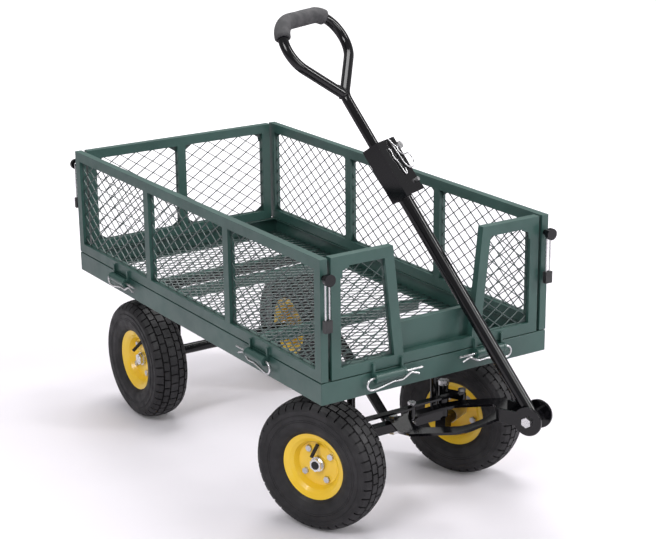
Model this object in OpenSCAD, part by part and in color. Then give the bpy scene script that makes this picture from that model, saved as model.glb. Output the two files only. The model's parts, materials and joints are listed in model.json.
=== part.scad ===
// Garden cart with fold-down diamond-mesh sides, knuckle steering and a D-loop pull handle.
// Millimetres. Z is up from the ground, -Y is the handle end, X runs across the cart.

/* [Tray] */
// Outside length of the tray, front to back
tray_length = 970; // [800:10:1200]
// Outside width of the tray
tray_width = 500; // [460:10:640]
// Height of the tray's lower edge above the ground
tray_bottom = 288; // [280:1:330]
// Height of the plain rim band
rim_height = 40; // [30:1:60]
// Sheet thickness of the rim
rim_sheet = 2.5; // [1.5:0.5:4]
// Width of the inward flange along the rim's lower edge
rim_lower_flange = 25; // [15:1:40]
// Width of the inward flange along the rim's upper edge
rim_upper_flange = 15; // [8:1:20]
// Width of the flat bars under the floor mesh
floor_bar_width = 20; // [12:1:30]
// Thickness of the flat bars under the floor mesh
floor_bar_thickness = 4; // [3:0.5:6]

// Distance from the cart's centre to the floor's front middle bar
floor_bar_front = 120; // [60:5:180]
// Distance from the cart's centre to the floor's back middle bar
floor_bar_back = 215; // [180:5:240]

/* [Panels] */
// Height of the four mesh panels
panel_height = 223; // [160:1:300]
// Height of the panel rails and width of the panel posts
panel_rail = 20; // [15:1:30]
// Depth of the panel tubes, across the panel
panel_depth = 15; // [10:1:20]
// Gap between the rim and the panels
panel_gap = 2; // [1:0.5:5]
// Distance from the cart's centre to the two middle posts of a long panel
middle_post_y = 160; // [120:5:200]
// Half width of the end panels
end_panel_half = 228; // [200:1:229]
// Half width of the front opening at its foot
opening_foot = 76; // [60:1:90]
// Half width of the front opening at its top
opening_top = 98.5; // [80:0.5:120]
// Height of the sheet plate across the front opening's foot
sheet_height = 54; // [30:1:58]
// Width of one mesh diamond
diamond_width = 38; // [30:1:60]
// Height of one mesh diamond
diamond_height = 27; // [20:1:45]
// Width of the mesh strands
strand = 1.6; // [1.4:0.1:3]
// Width of one diamond of the floor mesh
floor_diamond_width = 50; // [36:1:70]
// Height of one diamond of the floor mesh
floor_diamond_height = 36; // [26:1:50]

/* [Panel hinges] */
// Distance from the rim's face to the hinge pins
hinge_offset = 9.5; // [9:0.5:12]
// Height of the hinge pins above the rim's lower edge
hinge_rise = 31.5; // [28:0.5:34]
// Length of a hinge barrel
barrel_length = 55; // [40:1:70]
// Outside diameter of a hinge barrel
barrel_diameter = 16; // [12:1:16]
// Wire diameter of the hairpin clips that are the hinge pins
clip_wire = 4; // [3:0.5:4]
// Distance from the cart's centre to the hinges of the end panels
end_hinge_x = 112; // [90:1:140]
// Distance from the cart's centre to the hinges of the long panels
side_hinge_y = 280; // [240:5:340]

/* [Corner latches] */
// Height of the latch studs above the ground
latch_height = 520; // [480:1:530]
// Length of a latch bail, from its stud to the end of its grip
bail_length = 95; // [70:1:110]
// Wire diameter of a bail
bail_wire = 3; // [2:0.5:4]
// Diameter of a latch knob
knob_diameter = 22; // [16:1:23]

/* [Running gear] */
// Outside diameter of the tyres
tyre_diameter = 254; // [220:1:280]
// Width of the tyres
tyre_width = 80; // [60:1:86]
// Radius of the rims, over their flanges
rim_radius = 64; // [60:0.5:72]
// Number of lugs in each row of the tread
lug_count = 40; // [30:1:50]
// Distance from the cart's centre to the rear axle
rear_axle_y = 299; // [260:1:320]
// Distance from the centre plane to the middle of a rear wheel
rear_wheel_x = 192.7; // [180:0.1:220]
// Distance from the cart's centre to the front axle
front_axle_y = 345; // [320:1:360]
// Distance from the centre plane to a kingpin
kingpin_x = 118; // [110:1:125]
// Distance from a kingpin to the middle of its wheel
stub_length = 71; // [68:1:80]
// Steering angle in the stored pose
steer_angle = 25; // [0:1:25]
// Distance from the steering pivots to the tie-rod bolts
steer_arm = 40; // [30:1:45]
// Diameter of the axles
axle_diameter = 16; // [12:1:20]
// Radius of the tongue pivot bolt
pivot_radius = 5; // [4:0.5:6]

/* [Tongue and handle] */
// Distance from the tongue pivot to the handle pivot
coupler_reach = 290; // [250:5:320]
// Height of the handle pivot above the ground
coupler_height = 222; // [200:1:240]
// Radius of the coupler's round ears
ear_radius = 27; // [20:1:30]
// Angle of the resting handle, back from upright
lean_back = 35.5; // [30:0.5:36]
// Diameter of the lower handle tube
lower_tube = 25; // [22:1:26]
// Diameter of the upper handle tube
upper_tube = 19; // [16:1:20]
// Distance along the handle from its pivot to the loop's weld
loop_start = 676; // [600:1:720]
// Distance along the handle from its pivot to the middle of the loop's grip
grip_reach = 838; // [760:1:900]
// Angle of the loop's right leg from the handle tube
loop_angle = 50; // [44:1:52]
// Angle of the loop's welded left leg from the handle tube
weld_angle = 47; // [44:1:52]
// How far the foam runs round the right bend, in degrees
foam_right_sweep = 34; // [10:1:70]
// How far the foam runs round the left bend, in degrees
foam_left_sweep = 62; // [10:1:70]
// Radius of the loop's two bends
loop_bend = 55; // [40:1:60]
// Diameter of the foam grip
foam_diameter = 30; // [26:1:34]

/* [Hidden] */
$fn = 64;

green = [0.28, 0.42, 0.40];
mesh_green = [0.33, 0.44, 0.41];
black_paint = [0.06, 0.06, 0.07];
bright_steel = [0.78, 0.78, 0.80];
rim_yellow = [0.93, 0.70, 0.08];
tyre_black = [0.07, 0.07, 0.075];
foam_grey = [0.13, 0.13, 0.14];

half_length = tray_length / 2;
half_width = tray_width / 2;
rim_top = tray_bottom + rim_height;
panel_bottom = rim_top + panel_gap;
panel_top = panel_bottom + panel_height;
bay_bottom = panel_bottom + panel_rail;
bay_top = panel_top - panel_rail;
floor_bar_base = tray_bottom + rim_sheet;
floor_level = floor_bar_base + floor_bar_thickness;
hinge_z = tray_bottom + hinge_rise;
ear_thickness = 5;
ear_gap = 0.3;
clip_radius = clip_wire / 2;
clip_bore = clip_radius + 0.08;
eye_radius = 8.5;

wheel_radius = tyre_diameter / 2;
axle_radius = axle_diameter / 2;
// Tubes and wires are spliced by this step in radius over this depth.
splice_step = 0.03;
splice_depth = 0.4;
sheet_seam = 0.4;
running_gap = 0.05;
hub_radius = 13;
rim_half = 28;
disc_outer = 9;
disc_sheet = 5;
bolt_circle = 33;
seat_gap = 0.3;
hub_inner = 38;
hub_outer = 12;
axle_reach = hub_outer + 10;
beam_bottom = 136;
beam_top = 153.5;
beam_depth = 20;
leg_x = kingpin_x - 22;
leg_radius = 8;
bolster_bottom = tray_bottom - 12.5;
bolster_half = half_width - 35;
sleeve_bottom = 140;
sleeve_top = 180;
sleeve_radius = 11;
kingpin_radius = 6;
block_half = [12, 11];
arm_thickness = 5;
tie_thickness = 4;
tie_half_width = 7;
tie_bolt_radius = 4;
groove = 3;
left_tie_z = 188;
right_tie_z = left_tie_z + tie_thickness + 0.5;

yoke_z = 157;
yoke_slope = 14.04;
yoke_thickness = 5;
eye_bottom = 154;
eye_top = 159.5;
ear_spacing = 20;
ear_plate = 5;

box_near = 458;
box_far = 568;

stud_radius = 2.5;
bail_plane = 11;
bail_radius = stud_radius + running_gap + bail_wire / 2;
stud_length = bail_plane + bail_wire / 2 + 0.5;
knob_thickness = 8;

front_reach = front_axle_y + (coupler_reach + ear_radius) * cos(steer_angle)
    + (ear_spacing + ear_plate) * sin(steer_angle);
back_reach = half_length + stud_length + knob_thickness;
centre_shift = (front_reach - back_reach) / 2;

// ---------------------------------------------------------------- placing

module on_cart() {
    translate([0, centre_shift, 0])
        children();
}

// Local -Y is the heading, local X runs across the tongue.
module on_tongue() {
    on_cart()
        translate([0, -front_axle_y, 0])
            rotate([0, 0, steer_angle])
                children();
}

module on_knuckle(side) {
    on_cart()
        translate([side * kingpin_x, -front_axle_y, 0])
            rotate([0, 0, steer_angle])
                children();
}

// Local Z runs up the handle and local X along the handle pivot.
module on_handle() {
    on_tongue()
        translate([0, -coupler_reach, coupler_height])
            rotate([-lean_back, 0, 0])
                children();
}

module on_front_wheel(side) {
    on_knuckle(side)
        translate([side * stub_length, 0, wheel_radius])
            rotate([0, 0, side > 0 ? 0 : 180])
                children();
}

module on_rear_wheel(side) {
    on_cart()
        translate([side * rear_wheel_x, rear_axle_y, wheel_radius])
            rotate([0, 0, side > 0 ? 0 : 180])
                children();
}

// Draws a shape in a vertical plane: shape X to the cart's X, shape Y to Z.
module across_plate(y, depth) {
    translate([0, y + depth, 0])
        rotate([90, 0, 0])
            linear_extrude(depth)
                children();
}

// Draws a shape in a vertical plane: shape X to the cart's Y, shape Y to Z.
module along_plate(x, depth) {
    translate([x, 0, 0])
        rotate([90, 0, 90])
            linear_extrude(depth)
                children();
}

module bar_x(length, radius) {
    rotate([0, 90, 0])
        cylinder(h = length, r = radius);
}

module bar_y(length, radius) {
    rotate([-90, 0, 0])
        cylinder(h = length, r = radius);
}

module tube_z(length, outer, inner) {
    difference() {
        cylinder(h = length, r = outer);
        translate([0, 0, -1])
            cylinder(h = length + 2, r = inner);
    }
}

module hex_z(height, across) {
    cylinder(h = height, r = across / sqrt(3), $fn = 6);
}

// A round rod between two points.
module rod(start, finish, radius) {
    run = finish - start;
    length = norm(run);
    translate(start)
        rotate([0, acos(run[2] / length), atan2(run[1], run[0])])
            cylinder(h = length, r = radius);
}

function turn_at(path, i) =
    let (a = path[i] - path[i - 1], b = path[i + 1] - path[i])
        atan2(a[0] * b[1] - a[1] * b[0], a[0] * b[0] + a[1] * b[1]);

function trim_at(path, i, bend) =
    (i <= 0 || i >= len(path) - 1) ? 0 : bend * tan(abs(turn_at(path, i)) / 2);

// A bent wire or tube in the XZ plane, through [x, z] corners with a bend radius at each.
// The straights are a hair thinner than the bends and run a little way into them.
module bent_wire(path, bends, radius) {
    last = len(path) - 1;
    for (i = [0 : last - 1]) {
        ahead = (path[i + 1] - path[i]) / norm(path[i + 1] - path[i]);
        start = path[i] + ahead * (trim_at(path, i, bends[i]) - (i > 0 ? splice_depth : 0));
        stop = path[i + 1] - ahead * (trim_at(path, i + 1, bends[i + 1]) - (i + 1 < last ? splice_depth : 0));
        translate([start[0], 0, start[1]])
            rotate([0, atan2(ahead[0], ahead[1]), 0])
                cylinder(h = norm(stop - start), r = radius - splice_step);
    }
    for (i = [1 : last - 1]) {
        turn = turn_at(path, i);
        ahead = (path[i] - path[i - 1]) / norm(path[i] - path[i - 1]);
        inward = sign(turn) * [-ahead[1], ahead[0]];
        middle = path[i] - ahead * trim_at(path, i, bends[i]) + inward * bends[i];
        first = atan2(-inward[1], -inward[0]);
        rotate([90, 0, 0])
            translate(middle)
                rotate([0, 0, turn > 0 ? first : first + turn])
                    rotate_extrude(angle = abs(turn))
                        translate([bends[i], 0])
                            circle(r = radius);
    }
}

// ---------------------------------------------------------------- diamond mesh

function bay_point(corners, u, v) =
    (1 - u) * (1 - v) * corners[0] + u * (1 - v) * corners[1]
    + u * v * corners[2] + (1 - u) * v * corners[3];

function whole_diamond(corners, u, v, du, dv) =
    [bay_point(corners, u - du, v), bay_point(corners, u, v - dv),
     bay_point(corners, u + du, v), bay_point(corners, u, v + dv)];

function half_across(corners, u, v, du, dv, edge) =
    [bay_point(corners, u - du * (1 - edge / abs(dv)), v + sign(dv) * edge),
     bay_point(corners, u + du * (1 - edge / abs(dv)), v + sign(dv) * edge),
     bay_point(corners, u, v + dv)];

function half_up(corners, u, v, du, dv, edge) =
    [bay_point(corners, u + sign(du) * edge, v - dv * (1 - edge / abs(du))),
     bay_point(corners, u + sign(du) * edge, v + dv * (1 - edge / abs(du))),
     bay_point(corners, u + du, v)];

// One flat sheet of diamond mesh that fills a four-sided bay.
module mesh_bay(corners, diamond_wide = diamond_width, diamond_tall = diamond_height) {
    wide = norm((corners[1] + corners[2] - corners[0] - corners[3]) / 2);
    tall = norm((corners[3] + corners[2] - corners[0] - corners[1]) / 2);
    columns = max(1, round(wide / diamond_wide));
    rows = max(1, round(tall / diamond_tall));
    open = 1 - strand / (diamond_wide * sin(atan(diamond_tall / diamond_wide)));
    du = open / (2 * columns);
    dv = open / (2 * rows);
    edge_u = strand / (2 * wide);
    edge_v = strand / (2 * tall);
    whole = concat(
        [for (i = [0 : columns - 1], j = [0 : rows - 1])
            whole_diamond(corners, (i + 0.5) / columns, (j + 0.5) / rows, du, dv)],
        [for (i = [1 : 1 : columns - 1], j = [1 : 1 : rows - 1])
            whole_diamond(corners, i / columns, j / rows, du, dv)]);
    half = concat(
        [for (i = [1 : 1 : columns - 1]) half_across(corners, i / columns, 0, du, dv, edge_v)],
        [for (i = [1 : 1 : columns - 1]) half_across(corners, i / columns, 1, du, -dv, edge_v)],
        [for (j = [1 : 1 : rows - 1]) half_up(corners, 0, j / rows, du, dv, edge_u)],
        [for (j = [1 : 1 : rows - 1]) half_up(corners, 1, j / rows, -du, dv, edge_u)]);
    whole_points = [for (hole = whole, point = hole) point];
    half_points = [for (hole = half, point = hole) point];
    whole_paths = [for (i = [0 : len(whole) - 1]) [for (k = [0 : 3]) 4 + 4 * i + k]];
    half_start = 4 + 4 * len(whole);
    half_paths = [for (i = [0 : len(half) - 1]) [for (k = [0 : 2]) half_start + 3 * i + k]];
    polygon(
        points = concat(corners, whole_points, half_points),
        paths = concat([[0, 1, 2, 3]], whole_paths, half_paths));
}

function bay(left, right) =
    [[left, bay_bottom], [right, bay_bottom], [right, bay_top], [left, bay_top]];

// ---------------------------------------------------------------- tray

module rim_ring(inset, base, height) {
    translate([0, 0, base])
        linear_extrude(height)
            difference() {
                square([tray_width, tray_length], center = true);
                square([tray_width - 2 * inset, tray_length - 2 * inset], center = true);
            }
}

module tray_rim() {
    color(green)
        union() {
            rim_ring(rim_sheet, tray_bottom, rim_height);
            rim_ring(rim_lower_flange, tray_bottom, rim_sheet);
            rim_ring(rim_upper_flange, rim_top - rim_sheet, rim_sheet);
        }
}

function bar_rows() = [-front_axle_y, -floor_bar_front, floor_bar_back, rear_axle_y];

// The four corners of a floor sheet, a seam's width short of its neighbours.
function sheet_corners(left, right, front, back) =
    let (cut = sheet_seam / 2)
        [[left + cut, front + cut], [right - cut, front + cut],
         [right - cut, back - cut], [left + cut, back - cut]];

// The floor is laid in sheets that meet over the bars and along the middle.
module floor_mesh() {
    reach_x = half_width - rim_sheet;
    reach_y = half_length - rim_sheet;
    seams = [-reach_y, -front_axle_y, -floor_bar_front, 45, floor_bar_back, reach_y];
    color(mesh_green)
        translate([0, 0, floor_level])
            for (i = [0 : len(seams) - 2], side = [0, 1])
                linear_extrude(strand)
                    mesh_bay(sheet_corners((side - 1) * reach_x, side * reach_x, seams[i], seams[i + 1]),
                             floor_diamond_width, floor_diamond_height);
}

module floor_bars() {
    span = tray_width - 2 * rim_sheet;
    color(green)
        for (y = bar_rows())
            translate([-span / 2, y - floor_bar_width / 2, floor_bar_base])
                cube([span, floor_bar_width, floor_bar_thickness]);
    color(green)
        for (y = [-floor_bar_front, floor_bar_back])
            translate([-bolster_half, y - floor_bar_width / 2, bolster_bottom])
                cube([2 * bolster_half, floor_bar_width, floor_bar_base - bolster_bottom]);
}

// ---------------------------------------------------------------- panel hinges

// Local X runs along the hinge, local -Y points out of the cart, Z is up.
module barrel() {
    difference() {
        union() {
            translate([-barrel_length / 2, -hinge_offset, hinge_z])
                bar_x(barrel_length, barrel_diameter / 2);
            translate([-barrel_length / 2 + 3, -hinge_offset, hinge_z - 3])
                cube([barrel_length - 6, hinge_offset, 6]);
        }
        translate([-barrel_length / 2 - 1, -hinge_offset, hinge_z])
            bar_x(barrel_length + 2, clip_bore);
    }
}

// A hairpin clip: its straight leg is the hinge pin and its eye is at local -X.
module hairpin() {
    eye_x = -barrel_length / 2 - 20.5;
    eye_drop = 21;
    eye_bend = eye_drop / 2 - 0.1;
    far_x = barrel_length / 2;
    translate([0, -hinge_offset, hinge_z])
        bent_wire([[far_x + 43, 0], [eye_x, 0], [eye_x, -eye_drop],
                   [far_x - 56, -eye_drop], [far_x - 20, -13.8], [far_x, -14.8],
                   [far_x + 19, -4.3], [far_x + 36, -10.5]],
                  [0, eye_bend, eye_bend, 20, 20, 12, 9, 0], clip_radius);
}

// The two ears by which a panel hangs on one hinge pin.
module panel_ears() {
    for (side = [-1, 1])
        translate([side * (barrel_length / 2 + ear_gap + ear_thickness / 2) - ear_thickness / 2,
                   -hinge_offset, hinge_z])
            difference() {
                union() {
                    bar_x(ear_thickness, eye_radius);
                    translate([0, 4, 0])
                        cube([ear_thickness, hinge_offset - 4, panel_bottom + 15 - hinge_z]);
                }
                translate([-1, 0, 0])
                    bar_x(ear_thickness + 2, clip_bore);
            }
}

module at_front_hinge(side) {
    translate([side * end_hinge_x, -half_length, 0])
        mirror([side > 0 ? 1 : 0, 0, 0])
            children();
}

module at_back_hinge(side) {
    translate([side * end_hinge_x, half_length, 0])
        mirror([side > 0 ? 1 : 0, 0, 0])
            mirror([0, 1, 0])
                children();
}

module at_side_hinge(side, end) {
    translate([side * half_width, end * side_hinge_y, 0])
        rotate([0, 0, side * 90])
            mirror([side * end > 0 ? 1 : 0, 0, 0])
                children();
}

module at_all_hinges() {
    for (side = [-1, 1]) {
        at_front_hinge(side)
            children();
        at_back_hinge(side)
            children();
        for (end = [-1, 1])
            at_side_hinge(side, end)
                children();
    }
}

module hinge_barrels() {
    color(green)
        at_all_hinges()
            barrel();
}

module hinge_clips() {
    color(bright_steel)
        at_all_hinges()
            hairpin();
}

// ---------------------------------------------------------------- panels

module post_frame_shape(half, posts) {
    difference() {
        translate([-half, panel_bottom])
            square([2 * half, panel_height]);
        for (i = [0 : len(posts) - 2])
            translate([posts[i] + panel_rail / 2, bay_bottom])
                square([posts[i + 1] - posts[i] - panel_rail, bay_top - bay_bottom]);
    }
}

module gusset_shape() {
    polygon([[0, 0], [-18, 0], [-18, -3], [-5, -7], [-3, -20], [0, -20]]);
}

function long_posts() =
    [-half_length + panel_rail / 2, -middle_post_y, middle_post_y, half_length - panel_rail / 2];

module side_frame(side) {
    along_plate(side > 0 ? half_width - panel_depth : -half_width, panel_depth)
        post_frame_shape(half_length, long_posts());
    for (end = [-1, 1])
        at_side_hinge(side, end)
            panel_ears();
}

module side_mesh(side) {
    middle = side * (half_width - panel_depth / 2) - strand / 2;
    posts = long_posts();
    for (i = [0 : 2])
        along_plate(middle, strand)
            mesh_bay(bay(posts[i] + panel_rail / 2, posts[i + 1] - panel_rail / 2));
}

module left_panel_frame() {
    color(green)
        side_frame(-1);
}

module right_panel_frame() {
    color(green)
        side_frame(1);
}

module left_panel_mesh() {
    color(mesh_green)
        side_mesh(-1);
}

module right_panel_mesh() {
    color(mesh_green)
        side_mesh(1);
}

function back_posts() =
    [-end_panel_half + panel_rail / 2, 0, end_panel_half - panel_rail / 2];

module back_panel_frame() {
    color(green)
        union() {
            across_plate(half_length - panel_depth, panel_depth)
                post_frame_shape(end_panel_half, back_posts());
            for (side = [-1, 1]) {
                across_plate(half_length - 3, 3)
                    translate([side * (end_panel_half - panel_rail), bay_top])
                        mirror([side > 0 ? 0 : 1, 0])
                            gusset_shape();
                at_back_hinge(side)
                    panel_ears();
            }
        }
}

module back_panel_mesh() {
    posts = back_posts();
    color(mesh_green)
        for (i = [0 : 1])
            across_plate(half_length - panel_depth / 2 - strand / 2, strand)
                mesh_bay(bay(posts[i] + panel_rail / 2, posts[i + 1] - panel_rail / 2));
}

function opening_edge(z) =
    opening_foot + (opening_top - opening_foot) * (z - bay_bottom) / (panel_top - bay_bottom);

function front_bay() =
    [[opening_edge(bay_bottom) + panel_rail, bay_bottom],
     [end_panel_half - panel_rail, bay_bottom],
     [end_panel_half - panel_rail, bay_top],
     [opening_edge(bay_top) + panel_rail, bay_top]];

module front_frame_shape() {
    difference() {
        polygon([[-end_panel_half, panel_bottom], [end_panel_half, panel_bottom],
                 [end_panel_half, panel_top], [opening_top, panel_top],
                 [opening_foot, bay_bottom], [-opening_foot, bay_bottom],
                 [-opening_top, panel_top], [-end_panel_half, panel_top]]);
        polygon(front_bay());
        mirror([1, 0])
            polygon(front_bay());
    }
}

module front_panel_frame() {
    color(green)
        union() {
            across_plate(-half_length, panel_depth)
                front_frame_shape();
            for (side = [-1, 1]) {
                across_plate(-half_length, 3)
                    translate([side * (end_panel_half - panel_rail), bay_top])
                        mirror([side > 0 ? 0 : 1, 0])
                            gusset_shape();
                at_front_hinge(side)
                    panel_ears();
            }
        }
}

module front_panel_mesh() {
    color(mesh_green)
        for (side = [0, 1])
            mirror([side, 0, 0])
                across_plate(-half_length + panel_depth / 2 - strand / 2, strand)
                    mesh_bay(front_bay());
}

// The bent sheet across the foot of the front opening.
module front_sheet() {
    sheet = 2;
    back = -half_length + panel_depth;
    top_z = bay_bottom + sheet_height;
    foot = opening_edge(bay_bottom) + 9;
    head = opening_edge(top_z) + 9;
    color(green)
        union() {
            across_plate(back, sheet)
                polygon([[-foot, bay_bottom - 8], [foot, bay_bottom - 8],
                         [head, top_z], [-head, top_z]]);
            across_plate(back, 12)
                polygon([[-head + 12, top_z - sheet], [head - 12, top_z - sheet],
                         [head - 12, top_z], [-head + 12, top_z]]);
        }
}

// ---------------------------------------------------------------- corner latches

// Local -Y points out of the cart from the end face of a long panel's post.
module at_latch(side, end) {
    translate([side * (half_width - panel_depth / 2), end * half_length, latch_height])
        mirror([0, end > 0 ? 1 : 0, 0])
            children();
}

module latch_stud() {
    rotate([90, 0, 0])
        cylinder(h = stud_length, r = stud_radius);
    rotate([90, 0, 0])
        cylinder(h = bail_plane - bail_wire / 2 - 0.5, r = 5);
    translate([0, -stud_length, 0])
        rotate([90, 0, 0])
            cylinder(h = knob_thickness, r = knob_diameter / 2);
}

module bail_loop(radius) {
    drop = bail_length - 2 * bail_radius - 2;
    translate([0, -bail_plane, 0]) {
        rotate([90, 0, 0])
            rotate_extrude(angle = 180)
                translate([bail_radius, 0])
                    circle(r = radius);
        for (side = [-1, 1])
            translate([side * bail_radius, 0, -drop])
                cylinder(h = drop, r = radius);
        translate([0, 0, -drop])
            rotate([-90, 0, 0])
                rotate_extrude(angle = 180)
                    translate([bail_radius, 0])
                        circle(r = radius);
    }
}

module bail_grip() {
    difference() {
        translate([-bail_radius - 3.5, -bail_plane - 4.5, -bail_length])
            cube([2 * bail_radius + 7, 9, 22]);
        bail_loop(bail_wire / 2 + running_gap);
    }
}

module left_latch_studs() {
    color(black_paint)
        for (end = [-1, 1])
            at_latch(-1, end)
                latch_stud();
}

module right_latch_studs() {
    color(black_paint)
        for (end = [-1, 1])
            at_latch(1, end)
                latch_stud();
}

module bail(side, end) {
    color(bright_steel)
        at_latch(side, end)
            bail_loop(bail_wire / 2);
}

module grip(side, end) {
    color(black_paint)
        at_latch(side, end)
            bail_grip();
}

// ---------------------------------------------------------------- under frame

module front_axle_frame() {
    beam_reach = kingpin_x - sleeve_radius + 3;
    color(black_paint)
        difference() {
            union() {
                translate([-beam_reach, -front_axle_y - beam_depth / 2, beam_bottom])
                    cube([2 * beam_reach, beam_depth, beam_top - beam_bottom]);
                translate([-bolster_half, -front_axle_y - 15, bolster_bottom])
                    cube([2 * bolster_half, 30, floor_bar_base - bolster_bottom]);
                for (side = [-1, 1]) {
                    translate([side * leg_x, -front_axle_y, beam_top - 5])
                        cylinder(h = bolster_bottom - beam_top + 10, r = leg_radius);
                    translate([side * kingpin_x, -front_axle_y, sleeve_bottom])
                        cylinder(h = sleeve_top - sleeve_bottom, r = sleeve_radius);
                }
            }
            for (side = [-1, 1])
                translate([side * kingpin_x, -front_axle_y, beam_bottom - 1])
                    cylinder(h = sleeve_top - beam_bottom + 2, r = kingpin_radius + running_gap);
            for (side = [-1, 1])
                translate([side * kingpin_x, -front_axle_y, beam_bottom - 1])
                    cylinder(h = sleeve_bottom - beam_bottom + 1, r = norm(block_half) + 0.7);
            translate([0, -front_axle_y, beam_bottom - 1])
                cylinder(h = beam_top - beam_bottom + 2, r = pivot_radius);
        }
}

// A flat bar that runs from the middle of the front axle back up to the floor.
module centre_brace() {
    foot_y = -front_axle_y + beam_depth / 2;
    head_y = -floor_bar_front - floor_bar_width / 2;
    color(black_paint)
        along_plate(-10, 20)
            polygon([[foot_y, beam_bottom + 2], [foot_y, beam_bottom + 10],
                     [head_y - 9, bolster_bottom + 6], [head_y, bolster_bottom + 6],
                     [head_y, bolster_bottom]]);
}

module rear_axle_frame() {
    tube_half = rear_wheel_x - hub_inner - 0.3;
    leg_half = 118;
    color(black_paint)
        difference() {
            union() {
                translate([-tube_half, rear_axle_y, wheel_radius])
                    bar_x(2 * tube_half, 11);
                translate([-bolster_half, rear_axle_y - 15, bolster_bottom])
                    cube([2 * bolster_half, 30, floor_bar_base - bolster_bottom]);
                for (side = [-1, 1])
                    translate([side * leg_half - 3, 0, 0])
                        along_plate(0, 6)
                            polygon([[rear_axle_y - 9, wheel_radius], [rear_axle_y + 9, wheel_radius],
                                     [rear_axle_y + 15, bolster_bottom + 2],
                                     [rear_axle_y - 15, bolster_bottom + 2]]);
            }
            translate([-tube_half - 1, rear_axle_y, wheel_radius])
                bar_x(2 * tube_half + 2, axle_radius);
        }
}

module rear_axle_shaft() {
    reach = rear_wheel_x + axle_reach;
    color(black_paint)
        translate([-reach, rear_axle_y, wheel_radius])
            bar_x(2 * reach, axle_radius);
}

// A washer and a nut on an axle end, with the wheel's middle at the origin and outboard +X.
module axle_nut() {
    rotate([0, 90, 0])
        translate([0, 0, hub_outer + 0.3])
            difference() {
                union() {
                    cylinder(h = 2, r = 14);
                    translate([0, 0, 2])
                        hex_z(7, 22);
                }
                translate([0, 0, -1])
                    cylinder(h = 11, r = axle_radius);
            }
}

module rear_axle_nuts() {
    color(bright_steel)
        for (side = [-1, 1])
            translate([side * rear_wheel_x, rear_axle_y, wheel_radius])
                rotate([0, 0, side > 0 ? 0 : 180])
                    axle_nut();
}

module tongue_pivot_bolt() {
    color(bright_steel)
        translate([0, -front_axle_y, 0])
            union() {
                translate([0, 0, beam_bottom - 8])
                    cylinder(h = eye_top + 0.3 - beam_bottom + 8, r = pivot_radius);
                translate([0, 0, beam_bottom - 6.5])
                    hex_z(6.5, 16);
                translate([0, 0, eye_top + 0.3])
                    hex_z(6.5, 16);
            }
}

// ---------------------------------------------------------------- steering

// The knuckle: a block under the kingpin sleeve and the stub axle, outboard to +X.
module knuckle_body() {
    block_top = sleeve_bottom - 0.5;
    union() {
        difference() {
            translate([-block_half[0], -block_half[1], wheel_radius - 13])
                cube([2 * block_half[0], 2 * block_half[1], block_top - wheel_radius + 13]);
            translate([0, 0, wheel_radius - 14])
                cylinder(h = 40, r = kingpin_radius);
        }
        translate([11, 0, wheel_radius])
            bar_x(stub_length - hub_inner - 0.3 - 11, 12);
        translate([12, 0, wheel_radius])
            bar_x(stub_length + axle_reach - 12, axle_radius);
    }
}

module knuckle(side) {
    color(black_paint)
        rotate([0, 0, side > 0 ? 0 : 180])
            knuckle_body();
}

function tie_base(side) = side > 0 ? right_tie_z : left_tie_z;

// The steering arm: a plate keyed to the kingpin's top that points ahead to the tie rod.
module steering_arm(side) {
    top_z = tie_base(side) - 0.3;
    color(black_paint)
        difference() {
            union() {
                translate([0, 0, sleeve_top + 0.4])
                    cylinder(h = 203 - sleeve_top - 0.4, r = 10);
                translate([0, 0, sleeve_top + 0.4])
                    linear_extrude(top_z - sleeve_top - 0.4)
                        union() {
                            translate([-8, -steer_arm])
                                square([16, steer_arm]);
                            translate([0, -steer_arm])
                                circle(r = 8);
                        }
            }
            translate([0, 0, sleeve_top - 1])
                cylinder(h = 30, r = kingpin_radius);
            translate([0, -steer_arm, sleeve_top - 1])
                cylinder(h = 30, r = tie_bolt_radius);
        }
}

module knuckle_bolts(side) {
    top_z = tie_base(side) + tie_thickness + 0.3;
    color(bright_steel)
        union() {
            translate([0, 0, wheel_radius - 20])
                cylinder(h = 203 - wheel_radius + 20, r = kingpin_radius);
            translate([0, 0, 203])
                hex_z(9, 19);
            translate([0, 0, wheel_radius - 22])
                hex_z(9, 19);
            translate([0, -steer_arm, 175])
                cylinder(h = top_z - 175, r = tie_bolt_radius);
            translate([0, -steer_arm, top_z])
                hex_z(5, 13);
            translate([0, -steer_arm, sleeve_top + 0.4 - 5])
                hex_z(5, 13);
            translate([side * stub_length, 0, wheel_radius])
                rotate([0, 0, side > 0 ? 0 : 180])
                    axle_nut();
        }
}

// One tie rod, drawn along the cart's X from the tongue's bolt to the knuckle's bolt.
module tie_rod(side) {
    color(black_paint)
        translate([0, -front_axle_y, tie_base(side)])
            translate([steer_arm * sin(steer_angle), -steer_arm * cos(steer_angle), 0])
                linear_extrude(tie_thickness)
                    difference() {
                        union() {
                            translate([side > 0 ? 0 : -kingpin_x, -tie_half_width])
                                square([kingpin_x, 2 * tie_half_width]);
                            circle(r = tie_half_width);
                            translate([side * kingpin_x, 0])
                                circle(r = tie_half_width);
                        }
                        circle(r = tie_bolt_radius + running_gap);
                        translate([side * kingpin_x, 0])
                            circle(r = tie_bolt_radius + 0.3);
                    }
}

module yoke_shape() {
    difference() {
        polygon([[-13, 0], [13, 0], [78, -58], [97, -95], [97, -190], [84, -212], [26, -240],
                 [-26, -240], [-84, -212], [-97, -190], [-97, -95], [-78, -58]]);
        polygon([[-13, -48], [13, -48], [50, -80], [62, -104], [62, -182], [52, -196], [16, -212],
                 [-16, -212], [-52, -196], [-62, -182], [-62, -104], [-50, -80]]);
    }
}

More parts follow.
